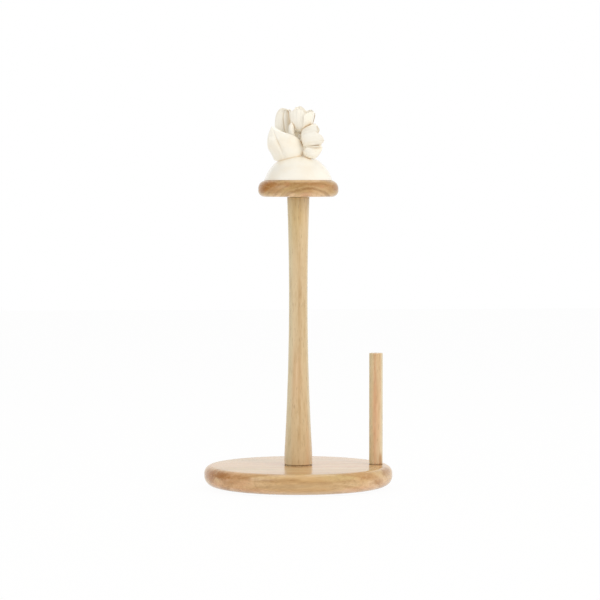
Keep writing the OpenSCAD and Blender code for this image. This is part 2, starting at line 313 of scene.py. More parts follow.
def carve(item: Piece, cutters: Sequence[Piece]) -> None:
    """Cuts closed shapes out of a piece, and removes them.

    Args:
        item: The piece to cut.
        cutters: The shapes to take away.
    """
    for cutter in cutters:
        cut = item.modifiers.new("cut", "BOOLEAN")
        cut.operation, cut.solver, cut.object = "DIFFERENCE", "EXACT", cutter
        bpy.context.view_layer.update()
        done = bpy.data.meshes.new_from_object(item.evaluated_get(bpy.context.evaluated_depsgraph_get()))
        item.modifiers.clear()
        item.data = done
        bpy.data.objects.remove(cutter)
    rework(item.data, mend)
    shade(item, SHARP)


def join(item: Piece, other: Piece) -> None:
    """Adds another piece's mesh to a piece, and removes the other."""
    rework(item.data, lambda work: work.from_mesh(other.data))
    bpy.data.objects.remove(other)


def hand_over(item: Piece, material: Material, body: str, node: str) -> None:
    """Dresses a finished piece, hangs it on its body and hides the CAD node that it stands for.

    Args:
        item: The piece.
        material: Its finish.
        body: The CAD body that it moves with.
        node: The CAD node that it replaces.
    """
    item.data.materials.append(material)
    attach(item, body)
    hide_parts(node)
    LOG.info("%s: %d faces on %s, for %s", item.name, len(item.data.polygons), body, node)


def room(node: str) -> tuple[Vector, float, float]:
    """Measures the upright room of a CAD node.

    Args:
        node: Name of the node.

    Returns:
        The foot of its axis, half its width and its height.
    """
    low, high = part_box(node)
    foot = Vector(((low.x + high.x) / 2, (low.y + high.y) / 2, low.z))
    return foot, (high.x - low.x) / 2, high.z - low.z


# ---- shader building

Value = Union["Field", float, int]


def worked(operation: str, reflected: bool = False) -> Callable[["Field", Value], "Field"]:
    """Makes the method behind one of a field's operators.

    Args:
        operation: Operation of the Math node that it adds.
        reflected: Whether the field stands on the operator's right.

    Returns:
        The method.
    """

    def method(this: "Field", other: Value) -> "Field":
        """Adds the node and gives its output."""
        return this.math(operation, other, this) if reflected else this.math(operation, this, other)

    return method


class Field:
    """A number that changes over a surface; arithmetic on it adds Math nodes to its net."""

    def __init__(self, net: "Net", socket: Socket) -> None:
        """Wraps one output socket of a net."""
        self.net = net
        self.socket = socket

    __add__, __radd__ = worked("ADD"), worked("ADD", reflected=True)
    __sub__, __rsub__ = worked("SUBTRACT"), worked("SUBTRACT", reflected=True)
    __mul__, __rmul__ = worked("MULTIPLY"), worked("MULTIPLY", reflected=True)
    __truediv__, __rtruediv__ = worked("DIVIDE"), worked("DIVIDE", reflected=True)

    def math(self, operation: str, *values: Value) -> "Field":
        """Adds one Math node with those inputs and gives its output."""
        return self.net.field("ShaderNodeMath", {"operation": operation}, dict(enumerate(values)))

    def root(self) -> "Field":
        """The square root."""
        return self.math("SQRT", self)

    def fract(self) -> "Field":
        """The part after the decimal point."""
        return self.math("FRACT", self)

    def floor(self) -> "Field":
        """The whole number below."""
        return self.math("FLOOR", self)

    def step(self, low: float, high: float) -> "Field":
        """Rises smoothly from 0 at low to 1 at high, or falls where high is below low."""
        sockets = {"Value": self, "From Min": low, "From Max": high}
        return self.net.field("ShaderNodeMapRange", {"interpolation_type": "SMOOTHSTEP"}, sockets)


class Net:
    """One node tree and the ways to add to it."""

    def __init__(self, tree: bpy.types.NodeTree) -> None:
        """Empties the tree and starts on it."""
        self.tree = tree
        self.tree.nodes.clear()

    def node(self, kind: str, settings: dict[str, Any] | None = None,
             sockets: dict[str | int, Any] | None = None) -> bpy.types.Node:
        """Adds a node.

        Args:
            kind: The node's type.
            settings: Its own settings, set first.
            sockets: Values or links for its inputs, by name or number.

        Returns:
            The node.
        """
        node = self.tree.nodes.new(kind)
        for key, value in (settings or {}).items():
            setattr(node, key, value)
        for key, value in (sockets or {}).items():
            self.feed(node.inputs[key], value)
        return node

    def field(self, kind: str, settings: dict[str, Any] | None = None,
              sockets: dict[str | int, Any] | None = None, output: str | int = 0) -> Field:
        """Adds a node as node() does, and wraps one of its outputs."""
        return Field(self, self.node(kind, settings, sockets).outputs[output])

    def feed(self, socket: Socket, value: Any) -> None:
        """Feeds an input.

        Args:
            socket: The input.
            value: A field or a socket, which is linked to it, or a plain value.
        """
        if isinstance(value, (Field, Socket)):
            self.tree.links.new(value.socket if isinstance(value, Field) else value, socket)
        else:
            socket.default_value = value

    def place(self, output: str = "Object") -> Socket:
        """The place on the piece, in the frame's own axes."""
        return self.node("ShaderNodeTexCoord").outputs[output]

    def seen(self) -> tuple[Field, Field]:
        """Looks at where a ray comes from.

        Returns:
            Whether it comes from the camera, and whether a mirror or a lens sends it.
        """
        paths = self.node("ShaderNodeLightPath").outputs
        kinds = ("Camera", "Glossy", "Transmission")
        camera, glossy, through = (Field(self, paths[f"Is {kind} Ray"]) for kind in kinds)
        return camera, glossy.math("MAXIMUM", glossy, through)

    def split(self, vector: Socket) -> tuple[Field, Field, Field]:
        """The three parts of a vector."""
        parts = self.node("ShaderNodeSeparateXYZ", sockets={0: vector}).outputs
        return Field(self, parts[0]), Field(self, parts[1]), Field(self, parts[2])

    def join(self, x: Value, y: Value, z: Value) -> Socket:
        """A vector from its three parts."""
        return self.node("ShaderNodeCombineXYZ", sockets={0: x, 1: y, 2: z}).outputs[0]

    def vector(self, operation: str, a: Any, b: Any = (0, 0, 0), output: int = 0) -> Socket:
        """Adds a Vector Math node and gives an output: 0 is a vector, 1 a number."""
        return self.node("ShaderNodeVectorMath", {"operation": operation}, {0: a, 1: b}).outputs[output]

    def noise(self, place: Any, scale: float = 1, detail: float = 2, rough: float = 0.5) -> Field:
        """Adds soft noise from about 0 to 1, at a scale in waves per metre, with rough finer layers."""
        sockets = {"Vector": place, "Scale": scale, "Detail": detail, "Roughness": rough}
        return self.field("ShaderNodeTexNoise", sockets=sockets)

    def blend(self, share: Value, a: Any, b: Any) -> Socket:
        """Mixes the share of colour b into colour a."""
        settings = {"data_type": "RGBA", "blend_type": "MIX"}
        return self.node("ShaderNodeMix", settings, {0: share, 6: a, 7: b}).outputs[2]


class Coat(Net):
    """One material's node tree, made of a Principled shader and what feeds it."""

    def __init__(self, name: str) -> None:
        """Starts a material with a Principled shader.

        Args:
            name: Name of the material.
        """
        self.material = bpy.data.materials.new(name)
        self.material.use_nodes = True
        super().__init__(self.material.node_tree)
        self.surface = self.node("ShaderNodeBsdfPrincipled")
        self.output = self.node("ShaderNodeOutputMaterial", sockets={"Surface": self.surface.outputs[0]})

    def bump(self, height: Field, depth: float) -> None:
        """Gives the surface fine relief of that depth in metres."""
        node = self.node("ShaderNodeBump", sockets={"Strength": 1.0, "Distance": depth, "Height": height})
        self.feed(self.surface.inputs["Normal"], node.outputs[0])

    def paint(self, **sockets: Any) -> None:
        """Sets the shader's inputs.

        Args:
            sockets: Their values, each named in lower case with _ for a space.
        """
        names = {s.name.lower().replace(" ", "_"): s for s in self.surface.inputs}
        for name, value in sockets.items():
            self.feed(names[name], value)


# ---- finishes


class Grain(Enum):
    """Axis along which the fibres run, as the places of along, across and up in x, y, z."""

    WIDTH = (0, 1, 2)
    DEPTH = (1, 0, 2)
    HEIGHT = (2, 0, 1)


@dataclass(frozen=True)
class StainAndPaintedLight:
    """A soft patch of another colour on the wood, in metres; some are real stains, others painted
    highlights, painted edge sheen or painted floor bounce.
    """

    centre: Triple
    reach: Triple
    colour: Colour
    strength: float


@dataclass(frozen=True)
class Band:
    """A soft growth band of another colour, at a distance from the pith in metres."""

    distance: float
    reach: float
    colour: Colour
    strength: float


@dataclass(frozen=True)
class WoodFinish:
    """Pale hardwood under a satin lacquer, its rings cut as they lie in the log."""

    name: str
    grain: Grain
    pith: tuple[float, float]
    ring: float
    pale: Colour = (230, 198, 150)
    honey: Colour = (216, 176, 122)
    olive: Colour = (205, 180, 122)
    blush: Colour = (226, 172, 126)
    late: Colour = (168, 120, 66)
    fleck: Colour = (120, 84, 48)
    late_share: float = 0.55
    warp: float = 0.006
    oval: float = 1.0
    seed: float = 0.0
    streak: float = 0.16
    bands: tuple[Band, ...] = ()
    stains_and_painted_light: tuple[StainAndPaintedLight, ...] = ()
    gloss: float = 0.2
    lacquer: float = 1.45
    relief: float = 0.00006

    def material(self) -> Material:
        """Lays the growth rings, the stains and painted light patches, the fibres and the lacquer.

        Returns:
            The material.
        """
        net = Coat(self.name)
        place = net.place()
        parts = net.split(place)
        along, across, up = (parts[k] for k in self.grain.value)

        def figure(fine: float, long: float, detail: float, rough: float = 0.5, shift: float = 0) -> Field:
            """Noise drawn out along the fibres, with fine waves per metre across them and long along."""
            wide = across * fine + shift if shift else across * fine
            return net.noise(net.join(wide, up * fine, along * long), detail=detail, rough=rough)

        drift, ripple = figure(22, 4, 1), figure(110, 9, 2)
        side = (across - self.pith[0] + (drift - 0.5) * self.warp) / self.oval
        rise = up - self.pith[1] + (ripple - 0.5) * self.warp * 0.35
        distance = (side * side + rise * rise).root()
        growth = distance / self.ring + (drift - 0.5) * 1.3
        number = growth.floor() + self.seed
        year = net.field("ShaderNodeTexWhiteNoise", {"noise_dimensions": "1D"}, {"W": number})
        phase = growth.fract()
        late = phase.step(0.35, 0.9) * phase.step(1.0, 0.93) * (0.35 + year * 0.65)
        broad = figure(38, 7, 2, shift=3)
        tint = net.noise(net.join(across * 30 + 11, up * 45 + 5, along * 6), detail=1)
        fibre = figure(900, 26, 3, rough=0.6)
        mottle = figure(330, 52, 2, rough=0.65)
        flecks = figure(1100, 110, 2, shift=2).step(0.6, 0.72)
        layers = [(tint.step(0.5, 0.72) * 0.6, self.blush), (tint.step(0.46, 0.28) * 0.6, self.olive)]
        # patches of real stain and of painted light, each blended over the wood's colour
        for patch in self.stains_and_painted_light:
            apart = net.vector("DIVIDE", net.vector("SUBTRACT", place, patch.centre), patch.reach)
            far = Field(net, net.vector("LENGTH", apart, output=1)) + (ripple - 0.5) * 0.7
            layers.append(((far + (mottle - 0.5) * 0.5).step(1.0, 0.25) * patch.strength, patch.colour))
        for band in self.bands:
            off = (distance - band.distance) / band.reach + (ripple - 0.5) * 1.4
            layers.append(((off * off).step(1.0, 0.05) * band.strength, band.colour))
        layers += [
            (late * self.late_share * broad.step(0.75, 0.35), self.late),
            (mottle.step(0.5, 0.25) * 0.3, self.late),
            (mottle.step(0.5, 0.75) * 0.35, self.pale),
            (fibre.step(0.3, 0.8) * self.streak, self.late),
            (flecks * 0.3, self.fleck),
        ]
        colour = net.blend(broad.step(0.3, 0.7), linear(self.pale), linear(self.honey))
        for share, tone in layers:
            colour = net.blend(share, colour, linear(tone))
        net.paint(base_color=colour, roughness=0.42 + fibre * 0.12, specular_ior_level=0.0,
                  coat_weight=1.0, coat_roughness=self.gloss, coat_ior=self.lacquer)
        net.bump(fibre * 0.5 - flecks, self.relief)
        return net.material


@dataclass(frozen=True)
class GlazeFinish:
    """Ivory porcelain under a clear glaze that pools warm and darker in the creases, where painted shade
    darkens it further.
    """

    name: str = "ivory_glaze"
    body: Colour = (253, 248, 235)
    warm: Colour = (246, 228, 198)
    pool_and_shade: Colour = (208, 174, 132)
    speck: Colour = (196, 170, 132)
    relief: float = 0.00012

    def material(self) -> Material:
        """Lays the body, the pooled glaze with its painted crease shade, and its specks.

        Returns:
            The material.
        """
        net = Coat(self.name)
        place = net.place()
        crease_shade = net.field("ShaderNodeAttribute", {"attribute_name": "crease_shade"}, output="Fac")
        cloud = net.noise(place, scale=60, detail=3)
        speck = net.noise(place, scale=900, detail=1)
        # warm tint from a random cloud and from the crease measure, which is painted shade; the pool colour
        # darkens the most shut-in places as pooled glaze and painted shade
        colour = net.blend(cloud.step(0.35, 0.75) * 0.35 + crease_shade.step(0.15, 0.7) * 0.6,
                           linear(self.body), linear(self.warm))
        colour = net.blend(crease_shade.step(0.45, 1.0) * 0.85, colour, linear(self.pool_and_shade))
        colour = net.blend(speck.step(0.74, 0.8) * 0.12, colour, linear(self.speck))
        net.paint(base_color=colour, roughness=0.34 + cloud * 0.1, ior=1.5, coat_weight=1.0,
                  coat_roughness=0.16, coat_ior=1.5)
        net.bump(cloud + net.noise(place, scale=240, detail=1) * 0.5, self.relief)
        return net.material


@dataclass(frozen=True)
class MetalFinish:
    """Plated or machined metal with fine turning marks round a vertical axis."""

    name: str
    colour: Colour
    worn: Colour
    roughness: float
    centre: tuple[float, float] = (0.0, 0.0)
    relief: float = 0.00002

    def material(self) -> Material:
        """Lays the metal, its worn patches and its turning marks.

        Returns:
            The material.
        """
        net = Coat(self.name)
        place = net.place()
        x, y, z = net.split(place)
        off, over = x - self.centre[0], y - self.centre[1]
        marks = net.noise(net.join((off * off + over * over).root() * 6000, z * 2600, 0.0), detail=2)
        cloud = net.noise(place, scale=320, detail=3)
        colour = net.blend(cloud.step(0.4, 0.75) * 0.7, linear(self.colour), linear(self.worn))
        net.paint(base_color=colour, metallic=1.0, roughness=self.roughness + marks * 0.14 + cloud * 0.1)
        net.bump(marks, self.relief)
        return net.material


@dataclass(frozen=True)
class SoftFinish:
    """Rubber, nylon or cast resin: a matt body with fine speckle and slight mottling."""

    name: str
    colour: Colour
    mottle: Colour
    roughness: float
    grit: float = 1400
    relief: float = 0.00004

    def material(self) -> Material:
        """Lays the body, its mottling and its grit.

        Returns:
            The material.
        """
        net = Coat(self.name)
        place = net.place()
        cloud = net.noise(place, scale=180, detail=3)
        grit = net.noise(place, scale=self.grit, detail=2)
        colour = net.blend(cloud.step(0.3, 0.75) * 0.7 + grit.step(0.55, 0.8) * 0.3,
                           linear(self.colour), linear(self.mottle))
        net.paint(base_color=colour, roughness=self.roughness + grit * 0.15)
        net.bump(grit, self.relief)
        return net.material


# ---- turned wood


@dataclass
class TurnedBase:
    """The base disc, with the seats of the post and the guard and the recesses below it."""

    low_round: float = 0.0108
    top_round: float = 0.0082
    bolt_recess: tuple[float, float] = (0.012, 0.0065)
    bolt_hole: float = 0.0045
    post_seat: float = 0.015
    seat_depth: float = 0.006
    gap: float = 0.0002
    edge: float = 0.0004
    guard_seat_depth: float = 0.008
    guard_screw_hole: float = 0.0025
    guard_counterbore: tuple[float, float] = (0.0044, 0.0031)
    finish: WoodFinish = WoodFinish(
        "base_wood", Grain.WIDTH, pith=(-0.134, -0.094), ring=0.0064, late_share=0.4, streak=0.3,
        lacquer=1.53,
        bands=(Band(0.1284, 0.0055, (186, 136, 80), 0.45),),
        stains_and_painted_light=(
            StainAndPaintedLight((0.078, -0.066, 0.0095), (0.026, 0.03, 0.009), (246, 212, 172), 0.75),
            StainAndPaintedLight((-0.095, -0.024, 0.0165), (0.013, 0.034, 0.0105), (166, 104, 38), 0.8),
            StainAndPaintedLight((-0.086, -0.05, 0.0190), (0.022, 0.038, 0.0080), (166, 104, 32), 0.95),
            StainAndPaintedLight((0.091, -0.042, 0.0205), (0.012, 0.03, 0.0075), (168, 118, 62), 0.8),
            StainAndPaintedLight((0.049, -0.087, 0.0225), (0.012, 0.02, 0.003), (226, 192, 144), 0.6),
            StainAndPaintedLight((0.063, -0.078, 0.0185), (0.010, 0.02, 0.0032), (174, 122, 66), 0.55),
            StainAndPaintedLight((0.077, -0.064, 0.0115), (0.010, 0.02, 0.0036), (174, 124, 70), 0.6),
            StainAndPaintedLight((-0.063, -0.078, 0.0185), (0.013, 0.02, 0.003), (172, 120, 66), 0.5),
            StainAndPaintedLight((-0.078, -0.063, 0.0125), (0.010, 0.02, 0.0036), (174, 124, 72), 0.5),
            StainAndPaintedLight((0.03, -0.1, 0.0125), (0.07, 0.024, 0.006), (200, 172, 128), 0.45),
            StainAndPaintedLight((-0.03, -0.1, 0.0115), (0.05, 0.024, 0.004), (186, 156, 112), 0.5),
            StainAndPaintedLight((-0.034, -0.095, 0.0172), (0.036, 0.03, 0.0034), (172, 130, 80), 0.65),
            StainAndPaintedLight((0.017, -0.1, 0.0152), (0.048, 0.03, 0.003), (178, 138, 88), 0.5),
            StainAndPaintedLight((-0.055, -0.075, 0.005), (0.045, 0.03, 0.005), (228, 168, 126), 0.6),
            StainAndPaintedLight((0.055, -0.078, 0.005), (0.04, 0.03, 0.005), (238, 182, 144), 0.65),
            # painted light: pale lower rounding, standing in for the bounce from the white floor
            StainAndPaintedLight((0.0, -0.05, 0.0035), (0.115, 0.08, 0.0062), (255, 230, 194), 1.0),
        ))

    def build(self) -> None:
        """Builds and dresses the base."""
        foot, radius, thick = room("base_disc")
        seat, edge = self.post_seat, self.edge
        floor = thick - self.seat_depth
        recess, depth = self.bolt_recess
        profile = [(self.bolt_hole, depth), (recess, depth), (recess, edge), (recess + edge, 0)]
        profile += arc((radius - self.low_round, self.low_round), self.low_round, -90, 0, 18)
        profile += arc((radius - self.top_round, thick - self.top_round), self.top_round, 0, 90, 18)
        profile += [(seat + edge, thick), (seat, thick - edge), (seat, floor), (self.bolt_hole, floor)]
        disc = Shell().turned(profile, 256, foot, loop=True).piece("turned_base")
        carve(disc, [self.guard_cutter(foot.z, thick)])
        hand_over(disc, self.finish.material(), "stand", "base_disc")

    def guard_cutter(self, low: float, thick: float) -> Piece:
        """Makes the shape drilled out for the guard and its screw.

        Args:
            low: Height of the base's underside.
            thick: The base's thickness.

        Returns:
            A closed stepped body.
        """
        foot, radius, _ = room("guard_dowel")
        seat, floor, edge = radius + self.gap, thick - self.guard_seat_depth, self.edge
        bore, sink = self.guard_counterbore
        hole = self.guard_screw_hole
        profile = [(0, -PAST), (bore + edge + PAST, -PAST), (bore, edge), (bore, sink), (hole, sink),
                   (hole, floor), (seat, floor), (seat, thick - edge), (seat + edge + PAST, thick + PAST),
                   (0, thick + PAST)]
        return Shell().turned(profile, 72, Vector((foot.x, foot.y, low))).piece("guard_cutter")


@dataclass
class TurnedPost:
    """The waisted post, with a small groove at its foot and the cap's washer sunk in its head."""

    foot: float = 0.0148
    flare: float = 0.0156
    ease: float = 0.017
    waist: float = 0.0099
    waist_height: float = 0.180
    head: float = 0.0119
    seat_depth: float = 0.006
    groove: tuple[float, float] = (0.0011, 0.0015)
    edge: float = 0.0004
    washer_recess: tuple[float, float] = (0.010, 0.0005)
    insert_hole: tuple[float, float] = (0.006, 0.016)
    steps: int = 72
    finish: WoodFinish = WoodFinish(
        "post_wood", Grain.HEIGHT, pith=(-0.012, 0.062), ring=0.0052, late_share=0.3,
        pale=(228, 206, 168), honey=(218, 191, 148), late=(180, 144, 94), warp=0.009,
        stains_and_painted_light=(
            # painted sheen: pale greyish bands down the post's left and right edges, where it turns away
            # from the camera
            StainAndPaintedLight((-0.0105, -0.006, 0.16), (0.0055, 0.012, 0.4), (220, 208, 172), 0.8),
            StainAndPaintedLight((0.0115, -0.005, 0.16), (0.0045, 0.012, 0.4), (228, 216, 186), 0.85),
            StainAndPaintedLight((0.0005, -0.012, 0.17), (0.0028, 0.012, 0.22), (188, 146, 96), 0.4),
        ))

    def radius_at(self, height: float, length: float) -> float:
        """The post's radius: a long hollow arc on each side of its waist, straightened at the foot.

        Args:
            height: Height above the base.
            length: The post's height above the base.

        Returns:
            The radius at that height.
        """
        below = height < self.waist_height
        end, run = (self.flare, self.waist_height) if below else (self.head, length - self.waist_height)
        sag = end - self.waist
        big = (run * run + sag * sag) / (2 * sag)
        straight = (self.flare - self.foot) * max(0.0, 1 - height / self.ease) ** 2
        return self.waist + big - sqrt(big * big - (height - self.waist_height) ** 2) - straight

    def build(self) -> None:
        """Builds and dresses the post."""
        foot, _, tall = room("centre_post")
        seat, edge = self.seat_depth, self.edge
        length = tall - seat
        cut, rise = self.groove
        hole, depth = self.insert_hole
        recess, sunk = self.washer_recess
        profile = [(0, depth - seat), (hole, depth - seat), (hole, -seat), (self.foot - cut, -seat),
                   (self.foot - cut, rise * 0.1)]
        heights = [mix(rise, length - edge, k / self.steps) for k in range(self.steps + 1)]
        profile += [(self.radius_at(height, length), height) for height in heights]
        profile += [(self.head - edge * 0.3, length - edge * 0.3), (self.head - edge, length),
                    (recess, length), (recess, length - sunk), (hole, length - sunk),
                    (hole, length - sunk - depth), (0, length - sunk - depth)]
        post = Shell().turned(profile, 128, Vector((0, 0, foot.z + seat))).piece("turned_post", sharp=24)
        hand_over(post, self.finish.material(), "stand", "centre_post")


@dataclass
class GuardDowel:
    """The guard dowel that keeps the roll from unwinding, screwed down from below."""

    seat_depth: float = 0.008
    groove: tuple[float, float] = (0.0008, 0.0012)
    edge: float = 0.0009
    crown: tuple[float, float] = (0.00005, 0.00008)
    finish: WoodFinish = WoodFinish(
        "guard_wood", Grain.HEIGHT, pith=(0.081, 0.045), ring=0.0046, late_share=0.25,
        pale=(230, 204, 166), honey=(218, 186, 144), late=(184, 144, 96),
        stains_and_painted_light=(
            StainAndPaintedLight((0.0815, -0.007, 0.08), (0.0022, 0.004, 0.09), (214, 158, 120), 0.5),
            # painted sheen: pale greyish bands down the dowel's left and right edges, where it turns away
            # from the camera
            StainAndPaintedLight((0.076, -0.004, 0.08), (0.0045, 0.008, 0.2), (216, 206, 164), 0.9),
            StainAndPaintedLight((0.0895, -0.004, 0.09), (0.0035, 0.008, 0.2), (230, 218, 186), 0.8),
            StainAndPaintedLight((0.0875, -0.006, 0.027), (0.003, 0.006, 0.012), (184, 128, 70), 0.7),
        ))

    def build(self) -> None:
        """Builds and dresses the dowel."""
        foot, radius, length = room("guard_dowel")
        cut, rise = self.groove
        low, top = self.seat_depth + rise, length - self.edge
        shoulder, middle = self.crown
        profile = [(0, 0), (radius - cut, 0), (radius - cut, self.seat_depth), (radius, low)]
        profile += [(radius, mix(low, top, k / 12)) for k in range(1, 12)]
        profile += arc((radius - self.edge, top), self.edge, 0, 90, 6)
        profile += [(radius * 0.4, length - shoulder), (0, length - middle)]
        dowel = Shell().turned(profile, 72, foot).piece("guard_rod", sharp=30)
        hand_over(dowel, self.finish.material(), "stand", "guard_dowel")


@dataclass
class CapDisc:
    """The wooden cap, with the recess of its nut below and the rod's hole through it."""

    low_round: float = 0.007
    top_round: float = 0.0088
    dome_seat: float = 0.036
    recess: tuple[float, float] = (0.009, 0.010)
    hole: float = 0.0043
    edge: float = 0.0004
    finish: WoodFinish = WoodFinish(
        "cap_wood", Grain.DEPTH, pith=(0.007, 0.3035), ring=0.0036, late_share=0.34, oval=1.8, seed=3,
        pale=(207, 175, 121), honey=(189, 151, 97), olive=(184, 157, 100), blush=(197, 144, 98),
        late=(136, 92, 46), warp=0.004,
        bands=(
            Band(0.0138, 0.0017, (142, 102, 60), 0.38),
            Band(0.0157, 0.0012, (206, 174, 126), 0.35),
            Band(0.0198, 0.0014, (150, 108, 62), 0.12),
        ),
        stains_and_painted_light=(
            StainAndPaintedLight((0.0, -0.04, 0.3221), (0.042, 0.04, 0.0017), (160, 116, 66), 0.4),
            # painted highlight along the cap's upper rounding
            StainAndPaintedLight((0.006, -0.04, 0.3256), (0.036, 0.03, 0.0026), (232, 196, 146), 0.75),
            StainAndPaintedLight((-0.0325, -0.02, 0.3212), (0.0110, 0.036, 0.0058), (172, 108, 34), 0.85),
            StainAndPaintedLight((-0.0380, -0.02, 0.317), (0.009, 0.036, 0.0068), (174, 112, 40), 0.85),
            StainAndPaintedLight((0.0305, -0.03, 0.3205), (0.009, 0.05, 0.0024), (178, 124, 64), 0.55),
            StainAndPaintedLight((0.0395, -0.02, 0.318), (0.009, 0.034, 0.0065), (172, 116, 60), 0.8),
            StainAndPaintedLight((0.022, -0.04, 0.319), (0.004, 0.03, 0.003), (202, 138, 96), 0.5),
            StainAndPaintedLight((-0.015, -0.04, 0.322), (0.005, 0.03, 0.004), (190, 124, 84), 0.4),
            StainAndPaintedLight((-0.001, -0.04, 0.3185), (0.015, 0.04, 0.007), (170, 130, 78), 0.5),
            StainAndPaintedLight((0.021, -0.04, 0.3145), (0.013, 0.03, 0.0065), (228, 196, 150), 0.5),
            # painted highlight along the cap's lower rounding, standing in for light from below
            StainAndPaintedLight((0.0, -0.02, 0.3092), (0.062, 0.06, 0.0056), (252, 220, 180), 0.8),
            StainAndPaintedLight((0.004, -0.04, 0.3105), (0.009, 0.03, 0.004), (214, 160, 124), 0.6),
        ))

    def build(self) -> None:
        """Builds and dresses the cap."""
        foot, radius, thick = room("cap_disc")
        edge, (recess, depth) = self.edge, self.recess
        profile = [(self.hole, depth), (recess, depth), (recess, edge), (recess + edge, 0)]
        profile += arc((radius - self.low_round, self.low_round), self.low_round, -90, 0, 16)
        top = arc((radius - self.top_round, thick - self.top_round), self.top_round, 0, 90, 24)
        profile += [point for point in top if point[0] > self.dome_seat + edge / 2]
        profile += [(self.dome_seat, thick), (self.hole, thick)]
        disc = Shell().turned(profile, 192, foot, loop=True).piece("turned_cap")
        hand_over(disc, self.finish.material(), "cap", "cap_disc")


# ---- porcelain finial


@dataclass(frozen=True)
class Leaf:
    """A moulded leaf: its spine is a cubic curve, and side the way across at each end of it."""

    name: str
    node: str
    spine: tuple[Triple, Triple, Triple, Triple]
    side: tuple[Triple, Triple]
    half: float
    wide: float
    foot: float
    tip: float
    thick: float
    wrap: float
    groove: float
    skew: float = 0.0
    groove_width: float = 0.09
    rib: float = 0.16
    rib_count: int = 3
    wave: float = 0.5
    blunt: float = 0.35
    end: float = 0.992
    steps: int = 44
    places: int = 26

    def outline(self, t: float) -> float:
        """The leaf's outline.

        Args:
            t: Share of the way along it.

        Returns:
            Its width there, as a share of the full one.
        """
        if t < self.wide:
            return mix(self.foot, 1, sin(pi / 2 * t / self.wide) ** 0.7)
        return cos(pi / 2 * (t - self.wide) / (1 - self.wide)) ** self.tip

    def relief(self, t: float, v: float) -> float:
        """How far the surface stands out: the midrib's groove, the faint ribs and the waved edge.

        Args:
            t: Share of the way along the leaf.
            v: Place across it, from -1 to 1.

        Returns:
            The distance in millimetres, for a leaf that doesn't fade out at its ends.
        """
        dip = self.groove * exp(-((v / self.groove_width) ** 2))
        ribs = self.rib * cos(abs(v) * self.rib_count * TURN) * (1 - v * v) * smooth(0.1, 0.25, abs(v))
        return ribs + self.wave * abs(v) ** 3 * sin(9 * t + 2 * v) - dip

    def shell(self) -> Shell:
        """Bends the leaf along its spine and round it.

        Returns:
            The leaf as a closed solid, in millimetres on the cap.
        """
        spine = [Vector(p) for p in self.spine]
        spread = [k / self.places for k in range(-self.places, self.places + 1)]
        across = [copysign(abs(q) ** 2 * (3 - 2 * abs(q)), q) * 0.6 + q * 0.4 for q in spread]
        middle, half = [], []
        for i in range(self.steps + 1):
            t = i / self.steps * self.end
            along, centre = slope(spine, t), bezier(spine, t)
            rough = Vector(self.side[0]).lerp(Vector(self.side[1]), t)
            over = (rough - along * rough.dot(along)).normalized()
            face = over.cross(along)
            width = self.half * self.outline(t) + self.blunt
            fade = sin(pi * min(1, t * 1.1))
            body = self.thick * (0.5 + 0.5 * fade) * 0.9
            middle.append([])
            half.append([])
            for v in across:
                a = v * width * (1 + self.skew * (1 - t) * copysign(1, v)) / self.wrap
                normal = face * cos(a) + over * sin(a)
                bent = over * self.wrap * sin(a) - face * self.wrap * (1 - cos(a))
                middle[-1].append(centre + bent + normal * (fade * self.relief(t, v)))
                half[-1].append(body * ((1 - abs(v) ** 5) ** 0.5 * 0.82 + 0.18))
        return Shell().sheet(middle, half)


@dataclass(frozen=True)
class Petal:
    """One petal: radius and height of its lip, and a point from 1, pointed, to 3, round."""

    radius: float
    height: float
    point: float


